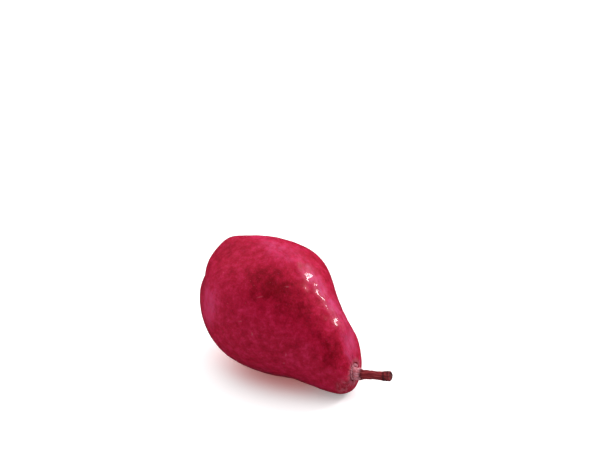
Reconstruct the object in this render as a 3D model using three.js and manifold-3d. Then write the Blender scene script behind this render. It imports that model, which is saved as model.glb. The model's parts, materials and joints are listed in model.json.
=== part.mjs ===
// A ripe red pear lying on its side: the fruit, its woody stem and the dried calyx of its blossom end.
//
// Millimetres, +Z up. The origin is the centre of the small flat spot that the pear rests on, and +X
// is the level direction that the stem end points in. Each piece is first shaped round the pear's own
// axis, which runs from the blossom end (0) to the stem end (LENGTH), and is then laid down.
import * as THREE from 'three';
import { mergeVertices } from 'three/addons/utils/BufferGeometryUtils.js';
import Module from 'manifold-3d';

const wasm = await Module();
wasm.setup();

// Fruit: the outline that is turned round the axis. Distances along it start at the blossom end.
const LENGTH = 90.8;
const BELLY_RADIUS = 32;
const BELLY_AT = 35.6;
const WAIST_RADIUS = 16.6;
const WAIST_AT = 79.2;
const WAIST_SLOPE = THREE.MathUtils.degToRad(19);
const BASE_FULLNESS = 0.34; // how flat the blossom end is, as a share of the step out to the belly
const BELLY_FULLNESS_BELOW = 0.51; // how far the belly's roundness reaches towards the blossom end
const BELLY_FULLNESS_ABOVE = 0.38; // and towards the waist
const WAIST_REACH_BELOW = 11.2;
const WAIST_REACH_ABOVE = 5.5;
const CROWN_FULLNESS = 9.9; // radius out to which the stem end stays blunt
const CROWN_SWELL = 0.6; // how far the flesh swells up round the lip

// Blossom end: a basin that holds the calyx, with soft lobes round it that fade along the belly.
const BASIN_RADIUS = 7.5;
const BASIN_DEPTH = 4.8;
const BASIN_WALL_FOOT = 6.4; // radius that the wall's foot bulges to
const BASIN_WALL_TOP = 6;
const SEAT_RADIUS = 4.2;
const LOBES = 5;
const LOBE_TURN = THREE.MathUtils.degToRad(76.4);
const LOBE_DEPTH = 0.045; // share of the radius
const LOBE_RISE = 0.2;
const LOBE_RISE_RADIUS = 16.8; // radius where a lobe has its full rise
const LOBE_FROM = 2;
const LOBE_REACH = 55.7;

// Stem end: a crown that leans over, with a dimple, and in it a fleshy collar that grips the stem.
const CROWN_LEAN = 0.51; // rise for each millimetre off the axis
const CROWN_TURN = THREE.MathUtils.degToRad(252.2);
const CROWN_FROM = 73.6;
const LIP_RADIUS = 4.5;
const LIP_EDGE = 4.1;
const DIMPLE_WALL = 4.2;
const DIMPLE_RADIUS = 3.9;
const DIMPLE_DEPTH = 1.2;
const COLLAR_FOOT = 3.65;
const COLLAR_FLANK = 3.45;
const COLLAR_RADIUS = 3.3;
const COLLAR_RISE = 0.1;
const SOCKET_RADIUS = 2.6;
const SOCKET_DEPTH = 5.6;

// Uneven growth: places where the flesh swells, or sinks where the height is negative.
const SWELLINGS = [
  { at: 0, turn: THREE.MathUtils.degToRad(98), height: 3.6, spread: 4.9 },
  { at: 0, turn: THREE.MathUtils.degToRad(94), height: 1.4, spread: 7.2 },
  { at: -1.5, turn: THREE.MathUtils.degToRad(179), height: -2.8, spread: 4.5 },
  { at: 39.9, turn: THREE.MathUtils.degToRad(37), height: 2.1, spread: 10 },
  { at: 65.9, turn: THREE.MathUtils.degToRad(35), height: -2.9, spread: 12.8 },
  { at: 66.8, turn: THREE.MathUtils.degToRad(230), height: -0.7, spread: 3.4 },
  { at: 75.5, turn: THREE.MathUtils.degToRad(234), height: 0.75, spread: 4.3 },
  { at: 83.6, turn: THREE.MathUtils.degToRad(21), height: 0.7, spread: 5.9 },
];
const SWELLING_INNER_RADIUS = 8; // nearer the axis than this a swelling dies away

// Stem: a straight root in the socket, then a bend up to the level and a knobbed, cut end.
const FIT_GAP = 0.42; // the hollows nearby narrow it to 0.31 in one place
const STEM_ROOT_DEPTH = 4.1;
const STEM_MOUTH = 0.2; // how far inside the stem end the bend starts
const STEM_LENGTH = 20; // from the mouth to the cut
const STEM_RISE = THREE.MathUtils.degToRad(31.5);
const STEM_SWING = THREE.MathUtils.degToRad(13);
const STEM_BEND = 4;
const STEM_RADII = [
  { at: 0, radius: 1.9 },
  { at: 0.5, radius: SOCKET_RADIUS - FIT_GAP },
  { at: 4.7, radius: SOCKET_RADIUS - FIT_GAP },
  { at: 5.6, radius: 3.1 },
  { at: 7.2, radius: 2.95 },
  { at: 9.2, radius: 2.3 },
  { at: 14, radius: 2.12 },
  { at: 19, radius: 2.1 },
  { at: 21, radius: 2.4 },
  { at: 23, radius: 2.45 },
];
const STEM_CUT_RADIUS = 1.95;
const STEM_CUT_HOLLOW = 0.35;
const STEM_RIDGES = 3;
const STEM_RIDGE_HEIGHT = 0.05; // share of the radius

// Calyx: a small woody cup with a tuft in its middle and five dried sepals that curl outwards.
const CALYX_GAP = 0.4;
const CALYX_CUP_RADIUS = 3.2;
const CALYX_THICKNESS = 0.8;
const SEPAL_REACH = 5.2;
const SEPAL_RISE = 3.3; // from the basin's floor to the sepals' tips
const SEPAL_NOTCH = 0.3; // how much of a sepal's reach is left between two sepals
const SEPAL_FULLNESS = 0.8; // the lower, the broader a sepal's end
const SEPAL_BEND = 3.6; // radius where a sepal turns outwards
const SEPAL_UNDER_BEND = 4.6;
const SEPAL_EDGE = 0.5;
const CUP_UNDER_BEND = 4.2;
const CUP_FOOT = 3.4;
const TUFT_RADIUS = 1.2;
const TUFT_RISE = 1.9;
const TUFT_CROWN = 0.7; // share of its radius at the top
const TUFT_ROUNDING = 0.2;
const TUFT_FOOT = 0.4;

// Lying down.
const PITCH = THREE.MathUtils.degToRad(19.5); // the stem end is lower than the blossom end
const BELLY_HEIGHT = 31.95; // the axis at the belly, above the flat spot
const BELLY_BEHIND = 6.7; // and how far the belly lies behind the flat spot

// Fineness of the faceted shapes.
const FRUIT_SIDES = 64;
const STEM_SIDES = 16;
const STEM_STEPS = 26;
const CALYX_SIDES = 40;

const smooth = (value) => THREE.MathUtils.smoothstep(value, 0, 1);

// One smooth stretch of an outline. Points are (radius, distance along the axis).
function stretch([start, pull, push, end], steps) {
  const corners = [start, pull, push, end].map(([radius, along]) => new THREE.Vector2(radius, along));
  return new THREE.CubicBezierCurve(...corners).getPoints(steps).slice(1);
}

// Turns an outline round the axis and moves each point to where place(along, radius, turn) says.
function turned(outline, sides, place) {
  const geometry = new THREE.LatheGeometry(outline, sides);
  const position = geometry.getAttribute('position');
  for (let i = 0; i < position.count; i += 1) {
    const radius = Math.hypot(position.getX(i), position.getZ(i));
    const turn = Math.atan2(position.getX(i), position.getZ(i));
    const point = place(position.getY(i), radius, turn);
    position.setXYZ(i, point.x, point.y, point.z);
  }
  geometry.computeVertexNormals();
  return geometry;
}

function roundAxis(along, radius, turn) {
  return new THREE.Vector3(along, radius * Math.cos(turn), radius * Math.sin(turn));
}

function fruitOutline() {
  const out = Math.sin(WAIST_SLOPE);
  const up = Math.cos(WAIST_SLOPE);
  const rim = [BASIN_RADIUS, 0];
  const belly = [BELLY_RADIUS, BELLY_AT];
  const waist = [WAIST_RADIUS, WAIST_AT];
  const lip = [LIP_RADIUS, LENGTH];
  const dimple = [DIMPLE_RADIUS, LENGTH - DIMPLE_DEPTH];
  const collar = [COLLAR_RADIUS, LENGTH + COLLAR_RISE];
  return [
    new THREE.Vector2(0, BASIN_DEPTH),
    new THREE.Vector2(SEAT_RADIUS, BASIN_DEPTH),
    ...stretch([[SEAT_RADIUS, BASIN_DEPTH], [BASIN_WALL_FOOT, BASIN_DEPTH], [BASIN_WALL_TOP, 0], rim], 6),
    ...stretch([
      rim,
      [BASIN_RADIUS + BASE_FULLNESS * (BELLY_RADIUS - BASIN_RADIUS), 0],
      [BELLY_RADIUS, BELLY_AT * (1 - BELLY_FULLNESS_BELOW)],
      belly,
    ], 14),
    ...stretch([
      belly,
      [BELLY_RADIUS, BELLY_AT + BELLY_FULLNESS_ABOVE * (WAIST_AT - BELLY_AT)],
      [WAIST_RADIUS + WAIST_REACH_BELOW * out, WAIST_AT - WAIST_REACH_BELOW * up],
      waist,
    ], 13),
    ...stretch([
      waist,
      [WAIST_RADIUS - WAIST_REACH_ABOVE * out, WAIST_AT + WAIST_REACH_ABOVE * up],
      [CROWN_FULLNESS, LENGTH + CROWN_SWELL],
      lip,
    ], 10),
    ...stretch([lip, [LIP_EDGE, LENGTH], [DIMPLE_WALL, LENGTH - DIMPLE_DEPTH], dimple], 3),
    ...stretch([
      dimple,
      [COLLAR_FOOT, LENGTH - DIMPLE_DEPTH],
      [COLLAR_FLANK, LENGTH + COLLAR_RISE],
      collar,
    ], 3),
    new THREE.Vector2(SOCKET_RADIUS, LENGTH + COLLAR_RISE),
    new THREE.Vector2(SOCKET_RADIUS, LENGTH - SOCKET_DEPTH),
    new THREE.Vector2(0, LENGTH - SOCKET_DEPTH),
  ];
}

// The turned outline with its lobes, its uneven growth and its leaning crown.
function fruitSurface(along, radius, turn) {
  const faded = smooth(1 - (along - LOBE_FROM) / (LOBE_REACH - LOBE_FROM));
  const lobe = Math.cos(LOBES * (turn - LOBE_TURN)) * faded;
  const fade = smooth(radius / SWELLING_INNER_RADIUS);
  let swollen = radius * (1 + LOBE_DEPTH * lobe);
  for (const { at, turn: middle, height, spread } of SWELLINGS) {
    const off = THREE.MathUtils.euclideanModulo(turn - middle + Math.PI, 2 * Math.PI) - Math.PI;
    const sideways = off * Math.max(radius, SWELLING_INNER_RADIUS);
    swollen += height * fade * Math.exp(-((along - at) ** 2 + sideways ** 2) / (2 * spread ** 2));
  }
  const lean = smooth((along - CROWN_FROM) / (LENGTH - CROWN_FROM)) * CROWN_LEAN * radius;
  const rise = LOBE_RISE * lobe * Math.min(radius / LOBE_RISE_RADIUS, 1);
  return roundAxis(along + lean * Math.cos(turn - CROWN_TURN) - rise, swollen, turn);
}

// Merges a closed mesh's shared corners and makes it a solid that can be cut.
function solid(geometry) {
  const bare = geometry.clone();
  bare.deleteAttribute('normal');
  bare.deleteAttribute('uv');
  const merged = mergeVertices(bare, 1e-4);
  const corners = merged.index.array;
  const faces = [];
  for (let i = 0; i < corners.length; i += 3) {
    const face = [corners[i], corners[i + 1], corners[i + 2]];
    if (new Set(face).size === 3) faces.push(...face);
  }
  return new wasm.Manifold(new wasm.Mesh({
    numProp: 3,
    vertProperties: new Float32Array(merged.getAttribute('position').array),
    triVerts: new Uint32Array(faces),
  }));
}

function fromSolid(shape) {
  const mesh = shape.getMesh();
  const geometry = new THREE.BufferGeometry();
  geometry.setAttribute('position', new THREE.BufferAttribute(mesh.vertProperties, 3));
  geometry.setIndex(new THREE.BufferAttribute(mesh.triVerts, 1));
  geometry.computeVertexNormals();
  return geometry;
}

// Lays a piece down: the belly comes over the flat spot and the stem end points down a little.
function laidDown(geometry) {
  return geometry
    .translate(-BELLY_AT, 0, 0)
    .rotateY(PITCH)
    .translate(-BELLY_BEHIND, 0, BELLY_HEIGHT);
}

function fruit() {
  const whole = laidDown(turned(fruitOutline(), FRUIT_SIDES, fruitSurface));
  const below = new THREE.BoxGeometry(3 * LENGTH, 3 * LENGTH, LENGTH).translate(0, 0, -LENGTH / 2);
  return fromSolid(solid(whole).subtract(solid(below)));
}

// The stem's middle line: straight in the socket, then one bend up and a little to the far side.
function stemLine() {
  const root = new THREE.Vector3(LENGTH - STEM_ROOT_DEPTH, 0, 0);
  const mouth = new THREE.Vector3(LENGTH - STEM_MOUTH, 0, 0);
  const heading = new THREE.Vector3(
    Math.cos(STEM_RISE) * Math.cos(STEM_SWING),
    Math.cos(STEM_RISE) * Math.sin(STEM_SWING),
    Math.sin(STEM_RISE),
  );
  const knee = mouth.clone().setX(mouth.x + STEM_BEND / 2);
  const bendEnd = knee.clone().addScaledVector(heading, STEM_BEND / 2);
  const cut = bendEnd.clone().addScaledVector(heading, STEM_LENGTH - STEM_BEND);
  const line = new THREE.CurvePath();
  line.add(new THREE.LineCurve3(root, mouth));
  line.add(new THREE.QuadraticBezierCurve3(mouth, knee, bendEnd));
  line.add(new THREE.LineCurve3(bendEnd, cut));
  return line;
}

// The stem's outline follows its radii smoothly and is carried along its middle line.
function stem() {
  const line = stemLine();
  const length = line.getLength();
  const skin = new THREE.SplineCurve(STEM_RADII.map(({ at, radius }) => new THREE.Vector2(radius, at)));
  const outline = [
    new THREE.Vector2(0, 0),
    ...skin.getSpacedPoints(STEM_STEPS),
    new THREE.Vector2(STEM_CUT_RADIUS, length),
    new THREE.Vector2(0, length - STEM_CUT_HOLLOW),
  ];
  const geometry = turned(outline, STEM_SIDES, (along, radius, turn) => {
    const share = THREE.MathUtils.clamp(along / length, 0, 1);
    const ahead = line.getTangentAt(share);
    const across = new THREE.Vector3(0, 1, 0).addScaledVector(ahead, -ahead.y).normalize();
    const over = new THREE.Vector3().crossVectors(ahead, across);
    const ridged = radius * (1 - STEM_RIDGE_HEIGHT * (0.5 - 0.5 * Math.cos(STEM_RIDGES * turn)));
    return line.getPointAt(share)
      .addScaledVector(across, ridged * Math.cos(turn))
      .addScaledVector(over, ridged * Math.sin(turn));
  });
  return laidDown(geometry);
}

// The calyx's outline, from the top of its tuft out over a sepal and back under to the basin's floor.
function calyx() {
  const floor = BASIN_DEPTH - CALYX_GAP;
  const cup = floor - CALYX_THICKNESS;
  const tip = floor - SEPAL_RISE;
  const tuftFoot = TUFT_RADIUS + TUFT_FOOT;
  const outline = [
    new THREE.Vector2(0, floor - TUFT_RISE),
    new THREE.Vector2(TUFT_RADIUS * TUFT_CROWN, floor - TUFT_RISE + TUFT_ROUNDING),
    new THREE.Vector2(TUFT_RADIUS, cup - TUFT_FOOT),
    new THREE.Vector2(tuftFoot, cup),
    ...stretch([[tuftFoot, cup], [CALYX_CUP_RADIUS, cup], [SEPAL_BEND, tip], [SEPAL_REACH, tip]], 6),
    new THREE.Vector2(SEPAL_REACH, tip + SEPAL_EDGE),
    ...stretch([
      [SEPAL_REACH, tip + SEPAL_EDGE],
      [SEPAL_UNDER_BEND, tip + CALYX_THICKNESS],
      [CUP_UNDER_BEND, floor],
      [CUP_FOOT, floor],
    ], 6),
    new THREE.Vector2(0, floor),
  ];
  const geometry = turned(outline, CALYX_SIDES, (along, radius, turn) => {
    const sepal = (0.5 + 0.5 * Math.cos(LOBES * (turn - LOBE_TURN))) ** SEPAL_FULLNESS;
    const beyond = Math.max(radius - CALYX_CUP_RADIUS, 0);
    const reach = radius - beyond * (1 - THREE.MathUtils.lerp(SEPAL_NOTCH, 1, sepal));
    return roundAxis(along, reach, turn);
  });
  return laidDown(geometry);
}

function piece(name, geometry, finish) {
  const mesh = new THREE.Mesh(geometry, new THREE.MeshStandardMaterial({ metalness: 0, ...finish }));
  mesh.name = name;
  return mesh;
}

const pear = new THREE.Group();
pear.add(
  piece('fruit', fruit(), { color: 0xa5193c, roughness: 0.35 }),
  piece('stem', stem(), { color: 0x6e2a26, roughness: 0.7 }),
  piece('calyx', calyx(), { color: 0x4a3222, roughness: 0.85 }),
);

export default pear;
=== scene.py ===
"""A ripe red pear lying on its side: the fruit, its woody stem and the dried calyx of its blossom end.

Shapes are worked out in millimetres round the pear's own axis, which runs from the blossom end (0)
to the stem end (LENGTH), and are then laid down in the row frame, in metres.
"""
import json
import math

import bpy
import numpy as np
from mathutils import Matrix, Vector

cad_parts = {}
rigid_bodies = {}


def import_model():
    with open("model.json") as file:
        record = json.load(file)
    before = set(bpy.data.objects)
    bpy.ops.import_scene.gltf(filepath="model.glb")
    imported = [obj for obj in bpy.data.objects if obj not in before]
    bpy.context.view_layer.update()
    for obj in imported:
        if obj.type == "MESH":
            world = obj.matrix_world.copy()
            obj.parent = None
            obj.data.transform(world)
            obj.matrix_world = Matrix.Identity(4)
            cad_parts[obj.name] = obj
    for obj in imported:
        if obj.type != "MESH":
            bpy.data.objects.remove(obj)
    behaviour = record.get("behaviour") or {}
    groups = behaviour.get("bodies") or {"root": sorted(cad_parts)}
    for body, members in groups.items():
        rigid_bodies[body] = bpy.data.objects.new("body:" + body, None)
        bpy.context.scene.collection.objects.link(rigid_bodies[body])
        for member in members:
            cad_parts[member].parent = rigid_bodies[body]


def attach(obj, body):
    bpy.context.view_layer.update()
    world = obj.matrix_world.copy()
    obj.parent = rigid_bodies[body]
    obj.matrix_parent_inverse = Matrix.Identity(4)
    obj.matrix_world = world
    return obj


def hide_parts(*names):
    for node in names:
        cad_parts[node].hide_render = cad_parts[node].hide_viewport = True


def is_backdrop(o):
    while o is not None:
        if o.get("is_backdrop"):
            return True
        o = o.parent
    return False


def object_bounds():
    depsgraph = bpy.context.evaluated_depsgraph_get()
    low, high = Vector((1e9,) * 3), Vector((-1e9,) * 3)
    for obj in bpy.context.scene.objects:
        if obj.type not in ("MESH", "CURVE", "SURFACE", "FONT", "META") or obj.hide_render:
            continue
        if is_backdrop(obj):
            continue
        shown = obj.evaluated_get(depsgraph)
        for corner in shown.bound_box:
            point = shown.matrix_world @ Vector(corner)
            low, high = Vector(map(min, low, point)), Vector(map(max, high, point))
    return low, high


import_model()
CAD_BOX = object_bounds()

bl_info = {
    "name": "Red Pear",
    "version": (1, 0, 0),
    "blender": (4, 5, 0),
    "location": "3D View > Sidebar > Pear",
    "description": "A ripe red pear with its stem and dried calyx",
    "category": "Object",
}

MM = 0.001

# Lying down.
PITCH = math.radians(19.5)
BELLY_HEIGHT = 31.95
BELLY_BEHIND = 6.7

# Fruit outline: radii, distances along the axis, and how full its curves are.
LENGTH = 90.8
BELLY_RADIUS = 32.0
BELLY_AT = 35.6
WAIST_RADIUS = 16.6
WAIST_AT = 79.2
WAIST_SLOPE = math.radians(19)
BASE_FULLNESS = 0.34
BELLY_FULLNESS_BELOW = 0.51
BELLY_FULLNESS_ABOVE = 0.38
WAIST_REACH_BELOW = 11.2
WAIST_REACH_ABOVE = 5.5
CROWN_FULLNESS = 9.9
CROWN_SWELL = 0.6

# Blossom end.
BASIN_RADIUS = 7.5
BASIN_DEPTH = 4.8
BASIN_WALL_FOOT = 6.4
BASIN_WALL_TOP = 6.0
SEAT_RADIUS = 4.2
LOBES = 5
LOBE_TURN = math.radians(76.4)
LOBE_DEPTH = 0.045
LOBE_RISE = 0.2
LOBE_RISE_RADIUS = 16.8
LOBE_FROM = 2.0
LOBE_REACH = 55.7

# Stem end.
CROWN_LEAN = 0.51
CROWN_TURN = math.radians(252.2)
CROWN_FROM = 73.6
LIP_RADIUS = 4.5
LIP_EDGE = 4.1
DIMPLE_WALL = 4.2
DIMPLE_RADIUS = 3.9
DIMPLE_DEPTH = 1.2
COLLAR_FOOT = 3.65
COLLAR_FLANK = 3.45
COLLAR_RADIUS = 3.3
COLLAR_RISE = 0.1
SOCKET_RADIUS = 2.6
SOCKET_DEPTH = 5.6

# Uneven growth: (along, turn, height, spread).
SWELLINGS = (
    (0.0, math.radians(98), 3.6, 4.9),
    (0.0, math.radians(94), 1.4, 7.2),
    (-1.5, math.radians(179), -2.8, 4.5),
    (39.9, math.radians(37), 2.1, 10.0),
    (65.9, math.radians(35), -2.9, 12.8),
    (66.8, math.radians(230), -0.7, 3.4),
    (75.5, math.radians(234), 0.75, 4.3),
    (83.6, math.radians(21), 0.7, 5.9),
)
SWELLING_INNER_RADIUS = 8.0

# Fine relief of the skin: (wavelength, height, seed). It is strong on the back of the neck and
# weak (RELIEF_ELSEWHERE) beyond twice RELIEF_REACH from there. Folds run into both ends, and each
# span says where they start, are full, begin to fade and end.
RELIEF_AT = 60.0
RELIEF_TURN = math.radians(88)
RELIEF_REACH = 16.0
RELIEF_ELSEWHERE = 0.35
BASIN_FOLDS = 0.22
BASIN_FOLD_SPAN = (-3.0, 1.0, 3.0, 8.0)
CROWN_FOLDS = 0.16
CROWN_FOLD_SPAN = (-6.5, -4.5, -1.0, 5.0)
SKIN_RELIEF = (
    (24.0, 0.06, 11),
    (8.0, 0.074, 1236),
    (6.0, 0.058, 2116),
)

# Scuffs on the skin: (along, turn, half length and width, heading, strength).
SCUFFS = (
    (41.3, math.radians(136), (2.2, 0.45), math.radians(-53), 0.38),
    (47.5, math.radians(168), (1.3, 0.8), math.radians(65), 0.30),
    (64.9, math.radians(173), (2.4, 0.5), math.radians(77), 0.32),
    (65.3, math.radians(-174), (0.7, 0.6), 0.0, 0.40),
    (39.6, math.radians(164), (1.8, 0.6), math.radians(-36), 0.25),
    (47.4, math.radians(113), (1.8, 0.45), math.radians(-50), 0.35),
)

# Colours of the skin: how far the edges of the fields wander, the tilt of the long fields, and the
# turn of the side that grew in the sun.
SKIN_WARP = 14.0
FIELD_TILT = (0.0, math.radians(21), 0.0)
RIDGE_TILT = (0.0, math.radians(29), math.radians(-26))
SUN_TURN = math.radians(128)

# Stem. Its heading is given in degrees, and its stations are distances from its root's end.
STEM_ROOT_DEPTH = 4.1
STEM_MOUTH = 0.2
STEM_LENGTH = 20.0
STEM_RISE = 31.5
STEM_SWING = 13
STEM_BEND = 4.0
STEM_STATIONS = (0.0, 0.5, 4.7, 5.6, 7.2, 9.2, 14.0, 19.0, 21.0, 23.0)
STEM_RADII = (1.9, 2.18, 2.18, 3.1, 2.95, 2.3, 2.12, 2.10, 2.40, 2.45)
STEM_FOOT = 8.0
STEM_PLEATS = 0.12
STEM_PLEAT_SPAN = (4.9, 5.4, 6.6, 8.6)
STEM_KNOB = 5.0
STEM_EDGE = 0.7
STEM_CUT_HOLLOW = 0.35
PITH_DEPTH = 0.22

# Relief of the stem: (height, scale of the grain vector, wavelength, seed).
BARK_RIDGES = (0.045, (0.16, 1.0, 1.0), 0.85, 31)
FINE_RIDGES = (0.028, (0.16, 1.0, 1.0), 0.38, 32)
KNOB_RINGS = (0.07, (1.0, 0.35, 0.35), 1.3, 33)
BARK_LUMPS = (0.05, (0.5, 1.0, 1.0), 1.9, 34)
ROUGH_CUT = (0.10, (0.0, 1.0, 1.0), 0.45, 35)

# Calyx.
CALYX_GAP = 0.4
SEPAL_REACH = 5.2
SEPAL_RISE = 3.3
SEPAL_FOOT_RADIUS = 2.6
SEPAL_FOOT_HEIGHT = 0.9
SEPAL_HALF_WIDTH = 1.75
SEPAL_HALF_THICKNESS = 0.24
SEPAL_CREASE = 0.272
STAMENS = 19
STAMEN_FOOT_HEIGHT = 0.4
STAMEN_RADIUS = 0.085
STAMEN_HEAD_SWELL = 0.15

# The calyx's cup from its inside over its rim to its underside: (corners of a curve as (radius,
# height above the cup's underside), rows).
CUP_CURVES = (
    (((0.05, 0.5), (1.6, 0.5), (2.3, 0.7), (2.9, 1.9)), 14),
    (((2.9, 1.9), (3.15, 2.2), (3.4, 1.9), (3.45, 1.2)), 7),
    (((3.45, 1.2), (3.5, 0.4), (3.2, 0.0), (2.4, 0.0)), 8),
)

# Camera and studio. Lights are seen from a compass angle and a height angle, in degrees.
CAMERA_PLACE = (0.5354, -0.6535, 0.5270)
CAMERA_TURN = math.radians(38.69)
CAMERA_RISE = math.radians(28)
CAMERA_LENS = 120.9
KEY_FROM = (61.7, 32.0)
KEY_DISTANCE = 1.1
KEY_SIZE = (0.094, 0.316)
GLOW_FROM = (88, 48)
SIDE_FROM = (200, 20)
SHEEN_FROM = (88, 46)
HALO_FROM = (66, 34)

# The oval of the floor beside the pear where its glow is tinted with painted red bounce light and painted
# contact shade, in metres: middle and half sizes.
PAINTED_BOUNCE_MIDDLE = (-0.002, 0.0, 0.0)
PAINTED_BOUNCE_HALF = (0.052, 0.036, 1.0)


# ---------------------------------------------------------------- settings

def number_of(name, description, default, **more):
    """A number of at least 0 that a user can change, such as a light's strength."""
    return bpy.props.FloatProperty(name=name, description=description, default=default, min=0.0, **more)


def length_of(name, description, millimetres):
    """A size that a user can change, in metres, with its default given in millimetres."""
    return number_of(name, description, millimetres * MM, precision=4, unit="LENGTH", subtype="DISTANCE")


def share_of(name, description, default):
    """A share between 0 and 1 that a user can change."""
    return number_of(name, description, default, max=1.0, subtype="FACTOR")


def colour_of(name, description, red, green, blue):
    """A colour that a user can change, in scene linear values."""
    return bpy.props.FloatVectorProperty(
        name=name, description=description, default=(red, green, blue), size=3,
        min=0.0, max=1.0, subtype="COLOR")


class PearFruitSettings(bpy.types.PropertyGroup):
    """Sizes and colours of the fruit."""

    belly_radius: length_of("Belly radius", "Radius where the fruit is widest", BELLY_RADIUS)
    waist_radius: length_of("Waist radius", "Radius of the neck at its waist", WAIST_RADIUS)
    basin_depth: length_of("Basin depth", "Depth of the hollow that holds the calyx", BASIN_DEPTH)
    relief: share_of("Relief", "How strongly the skin's fine unevenness shows", 1.0)
    crimson: colour_of("Crimson", "The skin's main red", 0.385, 0.0055, 0.031)
    deep: colour_of("Deep red", "Red of the darker blotches", 0.19, 0.0012, 0.008)
    # The pink also paints the sheen on the top, on the flanks and round the highlights.
    pink: colour_of("Pink", "Dusty pink where the skin's bloom is thick", 0.53, 0.066, 0.190)
    # The scarlet also shows the painted light where the top and the left flank are brightened.
    scarlet: colour_of("Scarlet", "Brighter red of the paler blotches", 0.54, 0.018, 0.080)
    ground: colour_of("Ground", "Yellow of the side that grew in the shade", 0.52, 0.215, 0.045)
    dusty: colour_of("Dusty", "Greyish pink round the stem", 0.46, 0.105, 0.150)
    collar: colour_of("Collar", "Pale pink of the ring round the stem", 0.62, 0.24, 0.30)
    russet: colour_of("Russet", "Brown of the basin and the dimple", 0.16, 0.050, 0.030)
    lenticel: colour_of("Lenticels", "Pale pores", 0.62, 0.22, 0.20)


class PearStemSettings(bpy.types.PropertyGroup):
    """Sizes and colours of the stem."""

    length: length_of("Length", "From the fruit's mouth to the cut", STEM_LENGTH)
    foot: colour_of("Foot", "Pink skin at the foot", 0.72, 0.30, 0.37)
    bark: colour_of("Bark", "Maroon of the bark", 0.25, 0.015, 0.023)
    streak: colour_of("Streaks", "Redder lengthwise streaks", 0.56, 0.068, 0.075)
    scar: colour_of("Scars", "Dark rings and scars", 0.045, 0.005, 0.010)
    cut: colour_of("Cut", "Dry wood of the cut end", 0.16, 0.045, 0.045)


class PearCalyxSettings(bpy.types.PropertyGroup):
    """Sizes and colours of the dried calyx."""

    reach: length_of("Sepal reach", "From the axis to a sepal's tip", SEPAL_REACH)
    dry: colour_of("Dry", "Brown of the dried sepals", 0.095, 0.048, 0.026)
    tip: colour_of("Tips", "Nearly black tips and edges", 0.016, 0.009, 0.007)
    stamen: colour_of("Stamens", "Withered stamens", 0.17, 0.095, 0.050)


class PearStageSettings(bpy.types.PropertyGroup):
    """Floor and lights."""

    floor_size: length_of("Floor", "Side of the floor", 9000.0)
    floor_colour: colour_of("Floor colour", "Colour of the floor", 0.90, 0.895, 0.90)
    floor_glow: share_of("Floor glow", "How much brighter the floor shows than it lights", 0.28)
    # Painted light: the red bounce light and contact shade painted into the floor's glow beside the pear.
    painted_bounce: colour_of("Blush", "Tint of the floor's glow beside the pear", 1.0, 0.32, 0.30)
    floor_bounce: share_of("Floor bounce", "Grey of the floor as the pear sees it", 0.65)
    key: number_of("Key", "Power of the key light", 5.0, subtype="POWER")
    around: number_of("Around", "Light from all round", 0.22)
    glow: number_of("Glow", "Broad glow behind and above", 1.5)
    side: number_of("Side", "Soft light from the left", 1.08)
    sheen: number_of("Sheen", "The sky that the skin mirrors", 0.12)
    halo: number_of("Halo", "Soft glow mirrored round the key", 2.2)


# ---------------------------------------------------------------- shapes

def smooth(value):
    """The smooth step 3t^2 - 2t^3 of value held between 0 and 1."""
    held = np.clip(value, 0.0, 1.0)
    return held * held * (3.0 - 2.0 * held)


def between(value, start, full, fade, end):
    """A smooth share of value: 0 up to start, 1 from full to fade, and 0 from end on."""
    return smooth((value - start) / (full - start)) * smooth((end - value) / (end - fade))


def stretch(start, pull, push, end, count):
    """The cubic Bezier curve from start to end, as count rows (radius, along) that leave start out."""
    share = np.linspace(0.0, 1.0, count + 1)[1:, None]
    corners = [np.array(corner, dtype=float) for corner in (start, pull, push, end)]
    weights = ((1 - share) ** 3, 3 * (1 - share) ** 2 * share, 3 * (1 - share) * share ** 2, share ** 3)
    return sum(weight * corner for weight, corner in zip(weights, corners))


def straight(start, end, count):
    """The straight line from start to end, as count rows (radius, along) that leave start out."""
    return np.linspace(start, end, count + 1)[1:]


def triple(first, second, third):
    """Three values at each point of a grid, as one array."""
    return np.stack(np.broadcast_arrays(first, second, third), axis=-1)


def round_axis(along, radius, turn):
    """Points at a distance along the axis, a radius and a turn round it."""
    return triple(along, radius * np.cos(turn), radius * np.sin(turn))


def turns(sides):
    """The turns of a ring's points, as one row."""
    return np.arange(sides)[None, :] * (2 * math.pi / sides)


def turn_from(turn, middle):
    """How far a turn is from a middle one, between minus and plus half a circle."""
    return np.mod(turn - middle + math.pi, 2 * math.pi) - math.pi


def unit(vectors):
    """The vectors, each made one long."""
    return vectors / np.linalg.norm(vectors, axis=-1, keepdims=True)


def towards(azimuth, elevation):
    """The unit vector of a compass angle (0 along +X) and a height angle, in degrees."""
    turn, rise = math.radians(azimuth), math.radians(elevation)
    return (math.cos(rise) * math.cos(turn), math.cos(rise) * math.sin(turn), math.sin(rise))


def travelled(line):
    """The distance travelled from a line's start to each of its points."""
    return np.concatenate([[0.0], np.cumsum(np.linalg.norm(np.diff(line, axis=0), axis=1))])


def ripples(points, wavelength, seed, waves=36):
    """A smooth random field of about unit size: the sum of plane cosine waves in random directions.

    Each wave's length is within a third of the given wavelength, and its phase is random.
    """
    random = np.random.default_rng(seed)
    heading = unit(random.normal(size=(waves, 3)))
    number = 2 * math.pi / wavelength * random.uniform(0.75, 1.35, size=(waves, 1))
    phase = random.uniform(0, 2 * math.pi, size=waves)
    angles = points.reshape(-1, 3) @ (heading * number).T + phase
    return (np.cos(angles).sum(axis=1) * math.sqrt(2 / waves)).reshape(points.shape[:-1])


def stem_relief(grain, height, scale, wavelength, seed):
    """Ripples of a given height over the grain vector, whose parts are scaled first."""
    return height * ripples(grain * scale, wavelength, seed)


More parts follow.
